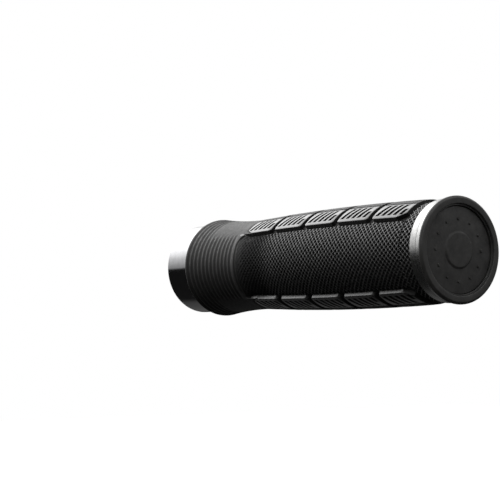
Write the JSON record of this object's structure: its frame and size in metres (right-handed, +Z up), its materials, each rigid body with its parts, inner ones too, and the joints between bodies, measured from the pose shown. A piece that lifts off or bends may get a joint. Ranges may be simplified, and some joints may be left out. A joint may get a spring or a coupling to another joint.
{
  "type": "handlebar grip",
  "caption": "Lock-on bicycle handlebar grip with a flared ribbed end, slotted tread blocks, knurled panels, a split clamp ring and an expanding bar-end plug.",
  "frame": {"origin": "on the handlebar's axis at the clamp ring's inboard face", "axes": "+X along the bar, from the clamp ring out to the bar's end; -Y forward, +Z up, as the grip sits on a level handlebar"},
  "size_m": [0.135, 0.0346, 0.0346],
  "materials": {
    "grip_rubber": "matt moulded rubber with a slight sheen, fine grain",
    "core_plastic": "satin glass-filled nylon, fine grain",
    "black_anodised": "gloss black anodised aluminium",
    "zinc_steel": "bright zinc-plated steel",
    "black_steel": "black oxide steel, slightly oiled",
    "cap_plastic": "satin black moulded plastic",
    "badge_plastic": "finely grained black moulded plastic",
    "bush_rubber": "smooth hard rubber",
    "wedge_plastic": "smooth dark grey nylon"
  },
  "bodies": {
    "grip": {"rubber_sleeve": "grip_rubber", "core_sleeve": "core_plastic", "lock_ring": "black_anodised"},
    "bolt_carriage": {"pinch_washer": "zinc_steel"},
    "pinch_bolt": {"pinch_bolt": "black_steel"},
    "bar_plug": {"end_cap": "cap_plastic", "expander_bush": "bush_rubber", "screw_washer": "zinc_steel"},
    "badge": {"cap_badge": "badge_plastic"},
    "plug_screw": {"plug_screw": "zinc_steel"},
    "wedge": {"wedge_cone": "wedge_plastic", "wedge_nut": "zinc_steel"}
  },
  "joints": [
    {"name": "pinch_bolt_travel", "type": "slide", "parent": "grip", "child": "bolt_carriage", "axis": [0, -0.7071, -0.7071], "range_m": [0, 0.0015]},
    {"name": "pinch_bolt_turn", "type": "hinge", "parent": "bolt_carriage", "child": "pinch_bolt", "pos_m": [0.0068, 0.01011, -0.01011], "axis": [0, -0.7071, -0.7071], "range_deg": [0, 1081]},
    {"name": "plug_pull", "type": "slide", "parent": "grip", "child": "bar_plug", "axis": [1, 0, 0], "range_m": [0, 0.04]},
    {"name": "badge_pull", "type": "slide", "parent": "bar_plug", "child": "badge", "axis": [1, 0, 0], "range_m": [0, 0.01]},
    {"name": "plug_screw_turn", "type": "hinge", "parent": "bar_plug", "child": "plug_screw", "pos_m": [0.126, 0, 0], "axis": [1, 0, 0], "range_deg": [0, 1441]},
    {"name": "wedge_travel", "type": "slide", "parent": "bar_plug", "child": "wedge", "axis": [-1, 0, 0], "range_m": [0, 0.0028]}
  ],
  "couplings": [
    {"joint": "pinch_bolt_turn", "follows": "pinch_bolt_travel", "rad_per_m": 12566},
    {"joint": "plug_screw_turn", "follows": "wedge_travel", "rad_per_m": 8976}
  ]
}
